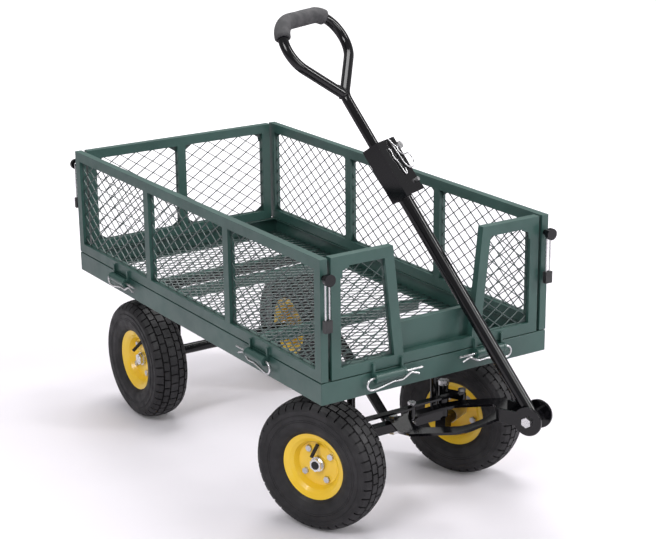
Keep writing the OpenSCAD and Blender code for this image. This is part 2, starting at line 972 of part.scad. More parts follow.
module tongue_yoke() {
    color(black_paint)
        difference() {
            union() {
                translate([0, 0, yoke_z])
                    rotate([-yoke_slope, 0, 0])
                        translate([0, 0, -yoke_thickness / 2])
                            linear_extrude(yoke_thickness)
                                yoke_shape();
                translate([0, 0, eye_bottom])
                    cylinder(h = eye_top - eye_bottom, r = 16);
                translate([0, -steer_arm, 166])
                    cylinder(h = left_tie_z - 0.3 - 166, r = 7);
            }
            translate([0, 0, eye_bottom - 5])
                cylinder(h = 20, r = pivot_radius + running_gap);
            translate([-20, -12, eye_top])
                cube([40, 30, 20]);
            translate([0, -steer_arm, 150])
                cylinder(h = 50, r = tie_bolt_radius);
        }
}

// Two round ears on a folded plate; the handle's foot turns between them.
module coupler_ears() {
    web_z = coupler_height - 12;
    color(black_paint)
        difference() {
            union() {
                for (side = [-1, 1])
                    translate([side > 0 ? ear_spacing : -ear_spacing - ear_plate, 0, 0])
                        union() {
                            translate([0, -coupler_reach, coupler_height])
                                bar_x(ear_plate, ear_radius);
                            translate([0, -coupler_reach, web_z])
                                cube([ear_plate, coupler_reach - 228, 26]);
                        }
                translate([-ear_spacing, -coupler_reach + ear_radius + 3, web_z])
                    cube([2 * ear_spacing, coupler_reach - ear_radius - 3 - 228, 5]);
            }
            translate([-ear_spacing - ear_plate - 1, -coupler_reach, coupler_height])
                bar_x(2 * ear_spacing + 2 * ear_plate + 2, 6);
            translate([0, 0, yoke_z])
                rotate([-yoke_slope, 0, 0])
                    translate([0, 0, -yoke_thickness / 2])
                        linear_extrude(yoke_thickness)
                            yoke_shape();
        }
}

module tongue_bolts() {
    side_reach = ear_spacing + ear_plate;
    color(bright_steel)
        union() {
            translate([-side_reach, -coupler_reach, coupler_height])
                bar_x(2 * side_reach, 6);
            translate([-side_reach, -coupler_reach, coupler_height])
                rotate([0, -90, 0])
                    hex_z(6, 17);
            translate([side_reach, -coupler_reach, coupler_height])
                rotate([0, 90, 0])
                    hex_z(6, 17);
            translate([0, -steer_arm, 155])
                cylinder(h = right_tie_z + tie_thickness + 0.3 - 155, r = tie_bolt_radius);
            translate([0, -steer_arm, right_tie_z + tie_thickness + 0.3])
                hex_z(5, 13);
            translate([0, -steer_arm, 157])
                hex_z(5, 13);
        }
}

// ---------------------------------------------------------------- handle

module handle_lower_tube() {
    foot_half = ear_spacing - 0.5;
    color(black_paint)
        difference() {
            union() {
                translate([0, 0, 8])
                    cylinder(h = box_far - 20, r = lower_tube / 2);
                translate([-foot_half, 0, 0])
                    bar_x(2 * foot_half, 14);
            }
            translate([0, 0, 60])
                cylinder(h = box_far, r = upper_tube / 2);
            translate([-foot_half - 1, 0, 0])
                bar_x(2 * foot_half + 2, 6 + running_gap);
        }
}

// The loop's right leg bends out of the tube and its left leg comes back to be welded on.
loop_rise = grip_reach - loop_start;
corner_x = loop_rise * tan(loop_angle);
weld_corner_x = loop_rise * tan(weld_angle);
loop_round = min(loop_bend, (weld_corner_x - 20) / tan((90 + weld_angle) / 2));
corner_trim = loop_round * tan((90 + loop_angle) / 2);
weld_trim = loop_round * tan((90 + weld_angle) / 2);
weld_way = [sin(weld_angle), -cos(weld_angle)];

module handle_upper_tube() {
    tube = upper_tube / 2;
    weld_corner = [-weld_corner_x, grip_reach];
    leg_end = weld_corner + (weld_trim + 2) * weld_way;
    leg_start = weld_corner + (weld_trim + 1) * weld_way;
    leg_foot = [-3, loop_start + 3 / tan(weld_angle)];
    color(black_paint)
        union() {
            bent_wire([[0, box_near + 2], [0, loop_start], [corner_x, grip_reach],
                       weld_corner, leg_end],
                      [0, loop_round / 2, loop_round, loop_round, 0], tube);
            rod([leg_foot[0], 0, leg_foot[1]], [leg_start[0], 0, leg_start[1]], tube - 0.1);
        }
}

module foam_section(spare) {
    difference() {
        circle(r = foam_diameter / 2 - spare);
        circle(r = upper_tube / 2 + running_gap + spare);
    }
}

// The foam round one bend of the loop, with the bend's start at the origin and +X outwards.
module foam_bend(sweep) {
    translate([0, 0, -loop_round])
        rotate([90, 0, 0])
            rotate([0, 0, 90 - sweep])
                rotate_extrude(angle = sweep)
                    translate([loop_round, 0])
                        foam_section(0);
}

module foam_grip() {
    left = weld_corner_x - weld_trim;
    right = corner_x - corner_trim;
    color(foam_grey)
        union() {
            translate([-left - splice_depth, 0, grip_reach])
                rotate([0, 90, 0])
                    linear_extrude(left + right + 2 * splice_depth)
                        foam_section(splice_step);
            translate([right, 0, grip_reach])
                foam_bend(foam_right_sweep);
            translate([-left, 0, grip_reach])
                mirror([1, 0, 0])
                    foam_bend(foam_left_sweep);
        }
}

// The bracket around the tubes' joint, open along one side.
module hitch_box() {
    sheet = 3;
    inner = lower_tube / 2 + 0.1;
    near_x = -inner - sheet - 2;
    color(black_paint)
        difference() {
            translate([near_x, -18, box_near])
                cube([62, 36, box_far - box_near]);
            translate([-inner, -18 + sheet, box_near - 1])
                cube([80, 36 - 2 * sheet, box_far - box_near + 2]);
            for (z = [box_near + 20, box_far - 20])
                translate([36, -20, z])
                    bar_y(40, 4);
        }
}

module hitch_pin() {
    z_low = box_near + 20;
    z_high = box_far - 20;
    color(bright_steel)
        union() {
            translate([36, -24, z_low])
                bar_y(48, 3.9);
            translate([36, 32.5, z_low])
                rotate([0, 90, 0])
                    rotate_extrude()
                        translate([9, 0])
                            circle(r = 2.5);
            translate([36, -24, z_high])
                bar_y(48, 3.9);
            translate([36, -22, z_high])
                rotate([90, 0, 0])
                    hex_z(6, 13);
        }
}

// ---------------------------------------------------------------- wheels, outboard +X

// Profiles are [radius, x]; this adds the mirror image of one half, so that the outline closes.
function both_sides(half) =
    concat([for (p = half) [p[0], -p[1]]], [for (i = [len(half) - 1 : -1 : 0]) half[i]]);

// A point measured from the rim's flange, and one from the tread's shoulder.
function at_flange(radius, x) = [rim_radius + radius, rim_half + x];
function at_shoulder(radius, x) = [wheel_radius + radius, tyre_width / 2 + x];

function carcass_profile() = both_sides([
    at_flange(-13.8, -10.2), at_flange(-7.85, -6.75), at_flange(0.3, -2.15), at_flange(0.3, 0.6),
    [rim_radius + 6, tyre_width / 2 - 6], [rim_radius + 15, tyre_width / 2 - 2],
    [rim_radius + 25, tyre_width / 2 - 0.6], at_shoulder(-27, -0.4), at_shoulder(-18, -4.5),
    at_shoulder(-11, -12), at_shoulder(-6.5, -22), at_shoulder(-4.5, -31)]);

function cavity_profile() = both_sides([
    at_flange(-15, -17), at_flange(-7, -14), at_flange(0, -6),
    [rim_radius + 7, tyre_width / 2 - 12], [rim_radius + 15, tyre_width / 2 - 8.5],
    [rim_radius + 25, tyre_width / 2 - 7], at_shoulder(-28, -7.5), at_shoulder(-22, -12),
    at_shoulder(-15, -20)]);

module spin_profile(points) {
    rotate([0, 90, 0])
        rotate_extrude()
            polygon(points);
}

// A ring of tread cut into blocks by straight grooves; the turn is a share of one block's step.
module lug_ring(profile, turn) {
    step = 360 / lug_count;
    low = profile[0][1];
    high = max([for (p = profile) p[1]]);
    difference() {
        spin_profile(profile);
        for (i = [0 : lug_count - 1])
            rotate([(i + turn) * step, 0, 0])
                translate([low - 1, -groove / 2, wheel_radius - 14])
                    cube([high - low + 2, groove, 20]);
    }
}

module tyre() {
    root = -14;
    crown = tyre_width / 2;
    color(tyre_black)
        union() {
            difference() {
                union() {
                    spin_profile(carcass_profile());
                    lug_ring([[wheel_radius + root, -8], [wheel_radius, -8],
                              [wheel_radius, 8], [wheel_radius + root, 8]], 0);
                    for (side = [0, 1])
                        mirror([side, 0, 0]) {
                            lug_ring([[wheel_radius + root, 11], at_shoulder(-0.4, 11 - crown),
                                      at_shoulder(-2.6, 22 - crown), [wheel_radius + root, 22]], 0.5);
                            lug_ring([[wheel_radius + root, 25], at_shoulder(-3.6, 25 - crown),
                                      at_shoulder(-9, -6.5), at_shoulder(-17, -1.6), at_shoulder(-24, -1.6)], 0);
                        }
                }
                spin_profile(cavity_profile());
            }
            valve_stem();
        }
}

// The valve stem stands on the rim's disc and leans towards the hub and outwards.
module valve_stem() {
    stem = 3.5;
    lean = 38;
    foot = [rim_radius - 26, disc_outer + stem * sin(lean) + seat_gap];
    tip = foot + 27 * [-sin(lean), cos(lean)];
    rod([foot[1], 0, foot[0]], [tip[1], 0, tip[0]], stem);
}

function rim_profile() = [
    at_mirror(-10, -4), at_mirror(0, 0), at_mirror(0, -2), at_mirror(-8, -6.5), at_mirror(-14, -10),
    at_flange(-14, -10), at_flange(-8, -6.5), at_flange(0, -2), at_flange(0, 0), at_flange(-10, -4),
    at_flange(-16.5, -8.5), [rim_radius - 22, disc_outer], [hub_radius, disc_outer],
    [hub_radius, disc_outer - disc_sheet], [rim_radius - 18, disc_outer - disc_sheet],
    [rim_radius - 16.5, 0], at_mirror(-16.5, -8.5)];

function at_mirror(radius, x) = [rim_radius + radius, -rim_half - x];

module rim_disc() {
    color(rim_yellow)
        difference() {
            spin_profile(rim_profile());
            for (turn = [0 : 90 : 270])
                rotate([turn + 35, 0, 0])
                    translate([0, 0, bolt_circle])
                        bar_x(20, 4);
        }
}

module wheel_hub() {
    color(bright_steel)
        union() {
            difference() {
                translate([-hub_inner, 0, 0])
                    bar_x(hub_inner + hub_outer, hub_radius);
                translate([-hub_inner - 1, 0, 0])
                    bar_x(hub_inner + hub_outer + 2, axle_radius + running_gap);
            }
            for (turn = [0 : 90 : 270])
                rotate([turn + 35, 0, 0])
                    translate([0, 0, bolt_circle])
                        union() {
                            translate([disc_outer - 11, 0, 0])
                                bar_x(16, 4);
                            translate([disc_outer, 0, 0])
                                rotate([0, 90, 0])
                                    hex_z(5, 11);
                            translate([disc_outer - disc_sheet - 5, 0, 0])
                                rotate([0, 90, 0])
                                    hex_z(5, 11);
                        }
        }
}

// ---------------------------------------------------------------- every node

on_cart() tray_rim();
on_cart() floor_mesh();
on_cart() floor_bars();
on_cart() hinge_barrels();
on_cart() hinge_clips();
on_cart() front_panel_frame();
on_cart() front_panel_mesh();
on_cart() front_sheet();
on_cart() left_panel_frame();
on_cart() left_panel_mesh();
on_cart() left_latch_studs();
on_cart() right_panel_frame();
on_cart() right_panel_mesh();
on_cart() right_latch_studs();
on_cart() back_panel_frame();
on_cart() back_panel_mesh();
on_cart() bail(-1, -1);  // front_left_bail
on_cart() grip(-1, -1);  // front_left_grip
on_cart() bail(1, -1);  // front_right_bail
on_cart() grip(1, -1);  // front_right_grip
on_cart() bail(-1, 1);  // back_left_bail
on_cart() grip(-1, 1);  // back_left_grip
on_cart() bail(1, 1);  // back_right_bail
on_cart() grip(1, 1);  // back_right_grip
on_cart() front_axle_frame();
on_cart() centre_brace();
on_cart() rear_axle_frame();
on_cart() rear_axle_shaft();
on_cart() rear_axle_nuts();
on_cart() tongue_pivot_bolt();
on_knuckle(-1) knuckle(-1);  // left_knuckle
on_knuckle(-1) steering_arm(-1);  // left_steering_arm
on_knuckle(-1) knuckle_bolts(-1);  // left_knuckle_bolts
on_knuckle(1) knuckle(1);  // right_knuckle
on_knuckle(1) steering_arm(1);  // right_steering_arm
on_knuckle(1) knuckle_bolts(1);  // right_knuckle_bolts
on_tongue() tongue_yoke();
on_tongue() coupler_ears();
on_tongue() tongue_bolts();
on_cart() tie_rod(-1);  // left_tie_rod
on_cart() tie_rod(1);  // right_tie_rod
on_handle() handle_lower_tube();
on_handle() handle_upper_tube();
on_handle() foam_grip();
on_handle() hitch_box();
on_handle() hitch_pin();
on_front_wheel(-1) tyre();  // front_left_tyre
on_front_wheel(-1) rim_disc();  // front_left_rim
on_front_wheel(-1) wheel_hub();  // front_left_hub
on_front_wheel(1) tyre();  // front_right_tyre
on_front_wheel(1) rim_disc();  // front_right_rim
on_front_wheel(1) wheel_hub();  // front_right_hub
on_rear_wheel(-1) tyre();  // rear_left_tyre
on_rear_wheel(-1) rim_disc();  // rear_left_rim
on_rear_wheel(-1) wheel_hub();  // rear_left_hub
on_rear_wheel(1) tyre();  // rear_right_tyre
on_rear_wheel(1) rim_disc();  // rear_right_rim
on_rear_wheel(1) wheel_hub();  // rear_right_hub
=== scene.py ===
# %% [markdown]
# # A garden cart
# A steel cart with a mesh tray on four rubber tyres, steered by its pull handle.
# The engineering model already holds every rigid piece at its true size, so this lesson
# does not build them again. It loads them as a fixed frame, dresses each one in a finish
# worked out from simple noise and voronoi patterns, and adds the small shapes that a maker
# leaves behind, such as weld beads, rounded edges, tyre ribs and the soft skin of the grip.

# %% Load the frame
import json
import math

import bmesh
import bpy
from mathutils import Matrix, Vector
from mathutils.noise import noise as noise_value


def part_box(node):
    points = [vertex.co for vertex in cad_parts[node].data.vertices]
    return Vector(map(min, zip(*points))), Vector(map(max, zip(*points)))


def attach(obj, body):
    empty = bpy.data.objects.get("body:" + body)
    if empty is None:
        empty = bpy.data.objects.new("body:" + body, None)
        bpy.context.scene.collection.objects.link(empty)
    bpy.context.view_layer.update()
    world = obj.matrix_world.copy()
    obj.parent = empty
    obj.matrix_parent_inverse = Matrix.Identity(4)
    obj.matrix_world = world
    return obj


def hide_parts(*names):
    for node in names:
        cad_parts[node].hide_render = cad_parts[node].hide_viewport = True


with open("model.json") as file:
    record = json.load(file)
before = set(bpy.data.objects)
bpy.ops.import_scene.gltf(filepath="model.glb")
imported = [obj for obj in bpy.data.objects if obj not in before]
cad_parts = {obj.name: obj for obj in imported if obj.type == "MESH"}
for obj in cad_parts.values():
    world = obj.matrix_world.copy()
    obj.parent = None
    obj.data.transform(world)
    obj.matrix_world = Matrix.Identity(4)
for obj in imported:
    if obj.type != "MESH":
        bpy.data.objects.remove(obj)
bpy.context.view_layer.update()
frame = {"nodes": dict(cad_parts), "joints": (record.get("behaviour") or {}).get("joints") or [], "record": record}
nodes = frame["nodes"]
joints = {joint["name"]: joint for joint in frame["joints"]}

# %% [markdown]
# ## The camera
# It stands about three metres from the near front corner and looks down into the tray. A long
# lens from that far flattens the cart a little, as in a catalogue picture. Its angles are in
# radians. The camera is placed first, because every finish is judged through it.

# %% Place the camera
CAMERA_PLACE = Vector((-1.72488, -2.73110, 1.39769))
CAMERA_TURN = -0.5724
CAMERA_TILT = 0.3041
CAMERA_ROLL = -0.0118
LENS_MM = 93.49
SENSOR_MM = 36.0

camera_data = bpy.data.cameras.new("camera")
camera_data.lens = LENS_MM
camera_data.sensor_width = SENSOR_MM
camera = bpy.data.objects.new("camera", camera_data)
bpy.context.scene.collection.objects.link(camera)
camera.matrix_world = (
    Matrix.Translation(CAMERA_PLACE)
    @ Matrix.Rotation(CAMERA_TURN, 4, "Z")
    @ Matrix.Rotation(math.pi / 2 - CAMERA_TILT, 4, "X")
    @ Matrix.Rotation(CAMERA_ROLL, 4, "Z")
)
bpy.context.scene.camera = camera
bpy.context.scene.view_settings.view_transform = "Standard"
print("the camera stands", round(CAMERA_PLACE.length, 2), "m from the floor under the cart")

# %% [markdown]
# ## The studio
# A paint that shines needs something to reflect, so three of the lamps are large soft squares,
# the way a product photographer hangs white sheets. The fourth is a narrow strip on the right,
# meant to draw a long highlight down the tubes. The room is white. Its brightness for the
# camera comes from a Light Path switch and not from more light on the cart. The floor's white
# is switched in the same way and fades out towards the cart, so the shadows that hold the
# tyres to the ground stay.

# %% Hang the lamps
CART_MIDDLE = Vector((0.0, 0.0, 0.35))


def add_soft_lamp(name, place, width, height, power):
    """A rectangular area lamp, in metres and watts, that faces the middle of the cart."""
    lamp_data = bpy.data.lights.new(name, "AREA")
    lamp_data.shape = "RECTANGLE"
    lamp_data.size = width
    lamp_data.size_y = height
    lamp_data.energy = power
    lamp = bpy.data.objects.new(name, lamp_data)
    bpy.context.scene.collection.objects.link(lamp)
    lamp.location = place
    facing = CART_MIDDLE - Vector(place)
    lamp.rotation_euler = facing.to_track_quat("-Z", "Y").to_euler()


add_soft_lamp("key_lamp", (-2.4, -1.4, 2.6), width=1.2, height=1.2, power=50)
add_soft_lamp("front_lamp", (0.8, -3.4, 1.9), width=1.6, height=1.6, power=30)
add_soft_lamp("top_lamp", (0.4, 0.8, 3.0), width=2.0, height=2.0, power=82)
add_soft_lamp("strip_lamp", (2.3, -1.9, 2.2), width=0.36, height=2.4, power=62)
print("four lamps hang over the cart")

# %% Paint the room white
def node_link(tree, source, target):
    """Joins an output socket to an input socket."""
    tree.links.new(source, target)


WHITE = (1, 1, 1, 1)
ROOM_LIGHT = 0.36
ROOM_SEEN = 1.0

world = bpy.data.worlds.new("room")
bpy.context.scene.world = world
world.use_nodes = True
room_tree = world.node_tree
room_tree.nodes.clear()
room_light = room_tree.nodes.new("ShaderNodeBackground")
room_light.inputs["Color"].default_value = WHITE
room_light.inputs["Strength"].default_value = ROOM_LIGHT
room_seen = room_tree.nodes.new("ShaderNodeBackground")
room_seen.inputs["Color"].default_value = WHITE
room_seen.inputs["Strength"].default_value = ROOM_SEEN
room_path = room_tree.nodes.new("ShaderNodeLightPath")
room_mix = room_tree.nodes.new("ShaderNodeMixShader")
room_out = room_tree.nodes.new("ShaderNodeOutputWorld")
node_link(room_tree, room_path.outputs["Is Camera Ray"], room_mix.inputs["Fac"])
node_link(room_tree, room_light.outputs[0], room_mix.inputs[1])
node_link(room_tree, room_seen.outputs[0], room_mix.inputs[2])
node_link(room_tree, room_mix.outputs[0], room_out.inputs["Surface"])
print("the room is white")

# %% Lay the floor
FLOOR_SIZE = 24
FLOOR_COLOUR = (0.75, 0.72, 0.765, 1)
FADE_START, FADE_END = 0.9, 3.4
WHITE_NEAR, WHITE_FAR = 0.05, 0.95


def add_floor():
    """A wide pale floor whose paint adds white of its own for the camera, away from the cart."""
    bpy.ops.object.select_all(action="DESELECT")
    bpy.ops.mesh.primitive_plane_add(size=FLOOR_SIZE, location=(0, 0, 0))
    floor = bpy.context.object
    floor.name = "studio_floor"
    paint = bpy.data.materials.new("studio_floor_paint")
    paint.use_nodes = True
    tree = paint.node_tree
    tree.nodes.clear()
    matt = tree.nodes.new("ShaderNodeBsdfDiffuse")
    matt.inputs["Color"].default_value = FLOOR_COLOUR
    lift = tree.nodes.new("ShaderNodeEmission")
    lift.inputs["Color"].default_value = WHITE
    path = tree.nodes.new("ShaderNodeLightPath")
    place = tree.nodes.new("ShaderNodeTexCoord")
    distance = tree.nodes.new("ShaderNodeVectorMath")
    distance.operation = "LENGTH"
    fade = tree.nodes.new("ShaderNodeMapRange")
    fade.inputs["From Min"].default_value = FADE_START
    fade.inputs["From Max"].default_value = FADE_END
    fade.inputs["To Min"].default_value = WHITE_NEAR
    fade.inputs["To Max"].default_value = WHITE_FAR
    node_link(tree, place.outputs["Object"], distance.inputs[0])
    node_link(tree, distance.outputs["Value"], fade.inputs["Value"])
    amount = tree.nodes.new("ShaderNodeMath")
    amount.operation = "MULTIPLY"
    node_link(tree, fade.outputs["Result"], amount.inputs[1])
    total = tree.nodes.new("ShaderNodeAddShader")
    out = tree.nodes.new("ShaderNodeOutputMaterial")
    node_link(tree, path.outputs["Is Camera Ray"], amount.inputs[0])
    node_link(tree, amount.outputs[0], lift.inputs["Strength"])
    node_link(tree, matt.outputs[0], total.inputs[0])
    node_link(tree, lift.outputs[0], total.inputs[1])
    node_link(tree, total.outputs[0], out.inputs["Surface"])
    floor.data.materials.append(paint)


add_floor()
print("the floor is laid")

# %% [markdown]
# ## A workbench of pattern nodes
# Each finish below is a Principled shader fed by a few patterns. A handful of helpers keeps
# the recipes short: they start a finish, add a noise read from Object coordinates, stretch it
# or turn it into soft patches, blend two colours by it, and raise it as a shallow bump. All
# the pieces share one origin, so a pattern in metres keeps its scale from piece to piece.

# %% Make the helpers for finishes
def start_finish(name, colour, roughness, metallic=0.0):
    """A new material with a Principled shader, its tree and its Object coordinates."""
    finish = bpy.data.materials.new(name)
    finish.use_nodes = True
    tree = finish.node_tree
    shader = tree.nodes["Principled BSDF"]
    shader.inputs["Base Color"].default_value = (*colour, 1)
    shader.inputs["Roughness"].default_value = roughness
    shader.inputs["Metallic"].default_value = metallic
    place = tree.nodes.new("ShaderNodeTexCoord").outputs["Object"]
    return finish, tree, shader, place


def noise(tree, place, scale, detail=3.0):
    """A noise pattern of that many waves to the metre."""
    pattern = tree.nodes.new("ShaderNodeTexNoise")
    pattern.inputs["Scale"].default_value = scale
    pattern.inputs["Detail"].default_value = detail
    node_link(tree, place, pattern.inputs["Vector"])
    return pattern.outputs["Fac"]


def remap(tree, value, low, high, new_low, new_high):
    """Stretches a pattern between two levels."""
    stretch = tree.nodes.new("ShaderNodeMapRange")
    stretch.inputs["From Min"].default_value = low
    stretch.inputs["From Max"].default_value = high
    stretch.inputs["To Min"].default_value = new_low
    stretch.inputs["To Max"].default_value = new_high
    node_link(tree, value, stretch.inputs["Value"])
    return stretch.outputs["Result"]


def patches(tree, place, scale):
    """Soft patches from 0 to 1: a noise's middle levels, where most of it lies, stretched."""
    return remap(tree, noise(tree, place, scale), 0.35, 0.65, 0.0, 1.0)


# A Mix node has a set of sockets for each kind of value; these are the ones for colour.
COLOUR_A, COLOUR_B, COLOUR_OUT = 6, 7, 2


def colour_mix(tree, amount, first, second):
    """Blends two colours by a pattern."""
    mix = tree.nodes.new("ShaderNodeMix")
    mix.data_type = "RGBA"
    node_link(tree, amount, mix.inputs["Factor"])
    mix.inputs[COLOUR_A].default_value = (*first, 1)
    mix.inputs[COLOUR_B].default_value = (*second, 1)
    return mix.outputs[COLOUR_OUT]


def bump(tree, shader, height, strength, distance):
    """Raises a pattern from the surface by up to that distance, in metres."""
    ridge = tree.nodes.new("ShaderNodeBump")
    ridge.inputs["Strength"].default_value = strength
    ridge.inputs["Distance"].default_value = distance
    node_link(tree, height, ridge.inputs["Height"])
    node_link(tree, ridge.outputs["Normal"], shader.inputs["Normal"])


print("the workbench is ready")

# %% [markdown]
# ## Green powder coat
# The tray and the panels wear a baked powder coat with a fine orange-peel skin. It is a
# dielectric over steel, so Metallic stays at zero and a thin coat gives the broad sheen. A
# slow noise shifts the tone a little, a quicker one shifts the roughness, and a very fine one
# raises the skin. The mesh gets a second mix of the same paint in a greyer tone.

# %% Mix the green paint
GREEN = (0.026, 0.076, 0.064)
GREEN_DARK = (0.019, 0.060, 0.051)
MESH_GREEN = (0.030, 0.056, 0.052)
MESH_GREEN_DARK = (0.018, 0.036, 0.034)


def green_powder_coat(name, tone, dark_tone, roughness):
    """Baked paint with slow shifts of tone and an orange-peel skin."""
    finish, tree, shader, place = start_finish(name, tone, roughness)
    cloud = patches(tree, place, 9.0)
    node_link(tree, colour_mix(tree, cloud, dark_tone, tone), shader.inputs["Base Color"])
    sheen = remap(tree, noise(tree, place, 34.0), 0.3, 0.7, roughness - 0.06, roughness + 0.08)
    node_link(tree, sheen, shader.inputs["Roughness"])
    bump(tree, shader, noise(tree, place, 620.0, detail=2.0), strength=0.10, distance=0.0004)
    shader.inputs["Coat Weight"].default_value = 0.25
    shader.inputs["Coat Roughness"].default_value = 0.22
    return finish


green_paint = green_powder_coat("green_paint", GREEN, GREEN_DARK, 0.42)
mesh_paint = green_powder_coat("mesh_paint", MESH_GREEN, MESH_GREEN_DARK, 0.40)
print("two green paints are mixed")

# %% [markdown]
# ## Black and yellow enamel
# The running gear is sprayed glossy black and the wheel discs chrome yellow. Sprayed enamel
# is smoother than powder, so the skin is a longer, shallower wave and the roughness is low.

# %% Mix the enamels
BLACK, BLACK_DEEP = (0.0036, 0.0034, 0.0046), (0.0026, 0.0025, 0.0034)
YELLOW, YELLOW_DEEP = (0.90, 0.60, 0.035), (0.86, 0.54, 0.026)


def enamel(name, tone, deep_tone, roughness, wave, gloss):
    """Sprayed paint whose skin has that many waves to the metre."""
    finish, tree, shader, place = start_finish(name, tone, roughness)
    cloud = patches(tree, place, 14.0)
    node_link(tree, colour_mix(tree, cloud, deep_tone, tone), shader.inputs["Base Color"])
    bump(tree, shader, noise(tree, place, wave, detail=2.0), strength=0.05, distance=0.0005)
    shader.inputs["Specular IOR Level"].default_value = gloss
    shader.inputs["Coat Weight"].default_value = gloss / 2
    shader.inputs["Coat Roughness"].default_value = 0.06
    return finish


black_paint = enamel("black_paint", BLACK, BLACK_DEEP, roughness=0.14, wave=160.0, gloss=0.30)
yellow_paint = enamel("yellow_paint", YELLOW, YELLOW_DEEP, roughness=0.28, wave=220.0, gloss=0.5)
print("black and yellow enamel are mixed")

# %% [markdown]
# ## Zinc, rubber, foam and plastic
# The pins, nuts and clips are zinc plated: a bright metal that is a little duller and rougher
# in some spots than in others. Tyre rubber is dark, dull and dusty. The foam sleeve has a
# pitted skin, and the latch handles are moulded plastic with a faint grain.

# %% Mix the bare metal
DULL_SHARE = 0.82


def zinc_plate(name, tone, roughness):
    """Bright plated metal with duller and rougher spots."""
    finish, tree, shader, place = start_finish(name, tone, roughness, metallic=1.0)
    grain = noise(tree, place, 180.0, detail=4.0)
    spangle = remap(tree, grain, 0.3, 0.7, roughness - 0.08, roughness + 0.12)
    node_link(tree, spangle, shader.inputs["Roughness"])
    tint = patches(tree, place, 45.0)
    dull = tuple(channel * DULL_SHARE for channel in tone)
    node_link(tree, colour_mix(tree, tint, dull, tone), shader.inputs["Base Color"])
    bump(tree, shader, noise(tree, place, 900.0, detail=2.0), strength=0.05, distance=0.0002)
    return finish


bright_steel = zinc_plate("bright_steel", (0.70, 0.70, 0.71), 0.28)
hub_steel = zinc_plate("hub_steel", (0.58, 0.58, 0.60), 0.34)
print("zinc is plated")

# %% Mix the rubber, foam and plastic
def tyre_rubber_finish():
    """Dark rubber with a little pale dust."""
    finish, tree, shader, place = start_finish("tyre_rubber", (0.014, 0.0135, 0.015), 0.62)
    dust = remap(tree, noise(tree, place, 26.0, detail=5.0), 0.45, 0.75, 0.0, 1.0)
    tone = colour_mix(tree, dust, (0.011, 0.0105, 0.012), (0.026, 0.0245, 0.027))
    node_link(tree, tone, shader.inputs["Base Color"])
    worn = remap(tree, noise(tree, place, 60.0), 0.3, 0.7, 0.50, 0.72)
    node_link(tree, worn, shader.inputs["Roughness"])
    bump(tree, shader, noise(tree, place, 420.0), strength=0.16, distance=0.0006)
    shader.inputs["Specular IOR Level"].default_value = 0.4
    return finish


def foam_finish():
    """Soft foam with small open pores."""
    finish, tree, shader, place = start_finish("foam", (0.052, 0.051, 0.055), 0.88)
    pores = tree.nodes.new("ShaderNodeTexVoronoi")
    pores.inputs["Scale"].default_value = 700.0
    node_link(tree, place, pores.inputs["Vector"])
    bump(tree, shader, pores.outputs["Distance"], strength=0.35, distance=0.0005)
    tint = patches(tree, place, 70.0)
    tone = colour_mix(tree, tint, (0.040, 0.040, 0.043), (0.066, 0.064, 0.068))
    node_link(tree, tone, shader.inputs["Base Color"])
    return finish


def latch_plastic_finish():
    """Moulded plastic with a faint grain."""
    finish, tree, shader, place = start_finish("black_plastic", (0.022, 0.022, 0.023), 0.5)
    bump(tree, shader, noise(tree, place, 700.0, detail=2.0), strength=0.12, distance=0.0003)
    tint = patches(tree, place, 50.0)
    tone = colour_mix(tree, tint, (0.017, 0.017, 0.018), (0.027, 0.027, 0.028))
    node_link(tree, tone, shader.inputs["Base Color"])
    return finish


tyre_rubber = tyre_rubber_finish()
foam = foam_finish()
black_plastic = latch_plastic_finish()
print("rubber, foam and plastic are mixed")

# %% [markdown]
# ## Dress the frame
# The record of the cart names a slot for every node, so one loop gives each node its finish.
# The latch studs are painted black over their steel, so they are changed after it.

# %% Give every node its finish
FINISHES = {
    "green_paint": green_paint,
    "mesh_paint": mesh_paint,
    "black_paint": black_paint,
    "yellow_paint": yellow_paint,
    "bright_steel": bright_steel,
    "hub_steel": hub_steel,
    "tyre_rubber": tyre_rubber,
    "foam": foam,
    "black_plastic": black_plastic,
}
for part in frame["record"]["subparts"]:
    mesh = nodes[part["node"]].data
    mesh.materials.clear()
    mesh.materials.append(FINISHES[part["material_slot"]])
for node in ("left_latch_studs", "right_latch_studs"):
    nodes[node].data.materials[0] = black_paint

# %% [markdown]
# ## The expanded metal floor
# The floor is one steel sheet that a press has slit and pulled open into flat diamonds. Every
# strand leans, because the press pushes each row of slits down before it pulls, and the lean
# catches the light as fine bright lines. One zigzag strand and its mirror twin make a row of
# diamonds. The pair is shaped once from a grid and an Array lays it down the whole tray.

# %% Helpers for new pieces
def clear_selection():
    """Leaves edit mode and deselects everything."""
    if bpy.context.mode != "OBJECT":
        bpy.ops.object.mode_set(mode="OBJECT")
    bpy.ops.object.select_all(action="DESELECT")


def make_active(piece):
    """Selects one piece alone and makes it the one that operators act on."""
    clear_selection()
    piece.select_set(True)
    bpy.context.view_layer.objects.active = piece


def pick_faces(piece, wanted):
    """Selects the faces of the active mesh, in edit mode, that a test wants."""
    bpy.ops.mesh.select_all(action="DESELECT")
    bpy.ops.mesh.select_mode(type="FACE")
    shape = bmesh.from_edit_mesh(piece.data)
    for face in shape.faces:
        face.select = wanted(face)
    shape.select_flush(True)
    bmesh.update_edit_mesh(piece.data)


def hand_over(piece, name, body, slot_name):
    """Names a finished piece, paints it, and lets it ride on a body."""
    piece.name = name
    piece.data.name = name
    piece.data.materials.clear()
    piece.data.materials.append(FINISHES[slot_name])
    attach(piece, body)
    return piece


print("the tools for new pieces are laid out")

# %% Pull open the floor
DIAMOND_COLUMNS = 13
DIAMOND_ROWS = 46
STRAND = 0.0014
STRAND_RISE = 0.0008
SHEET_THICKNESS = 0.0012
STRIPS = 3


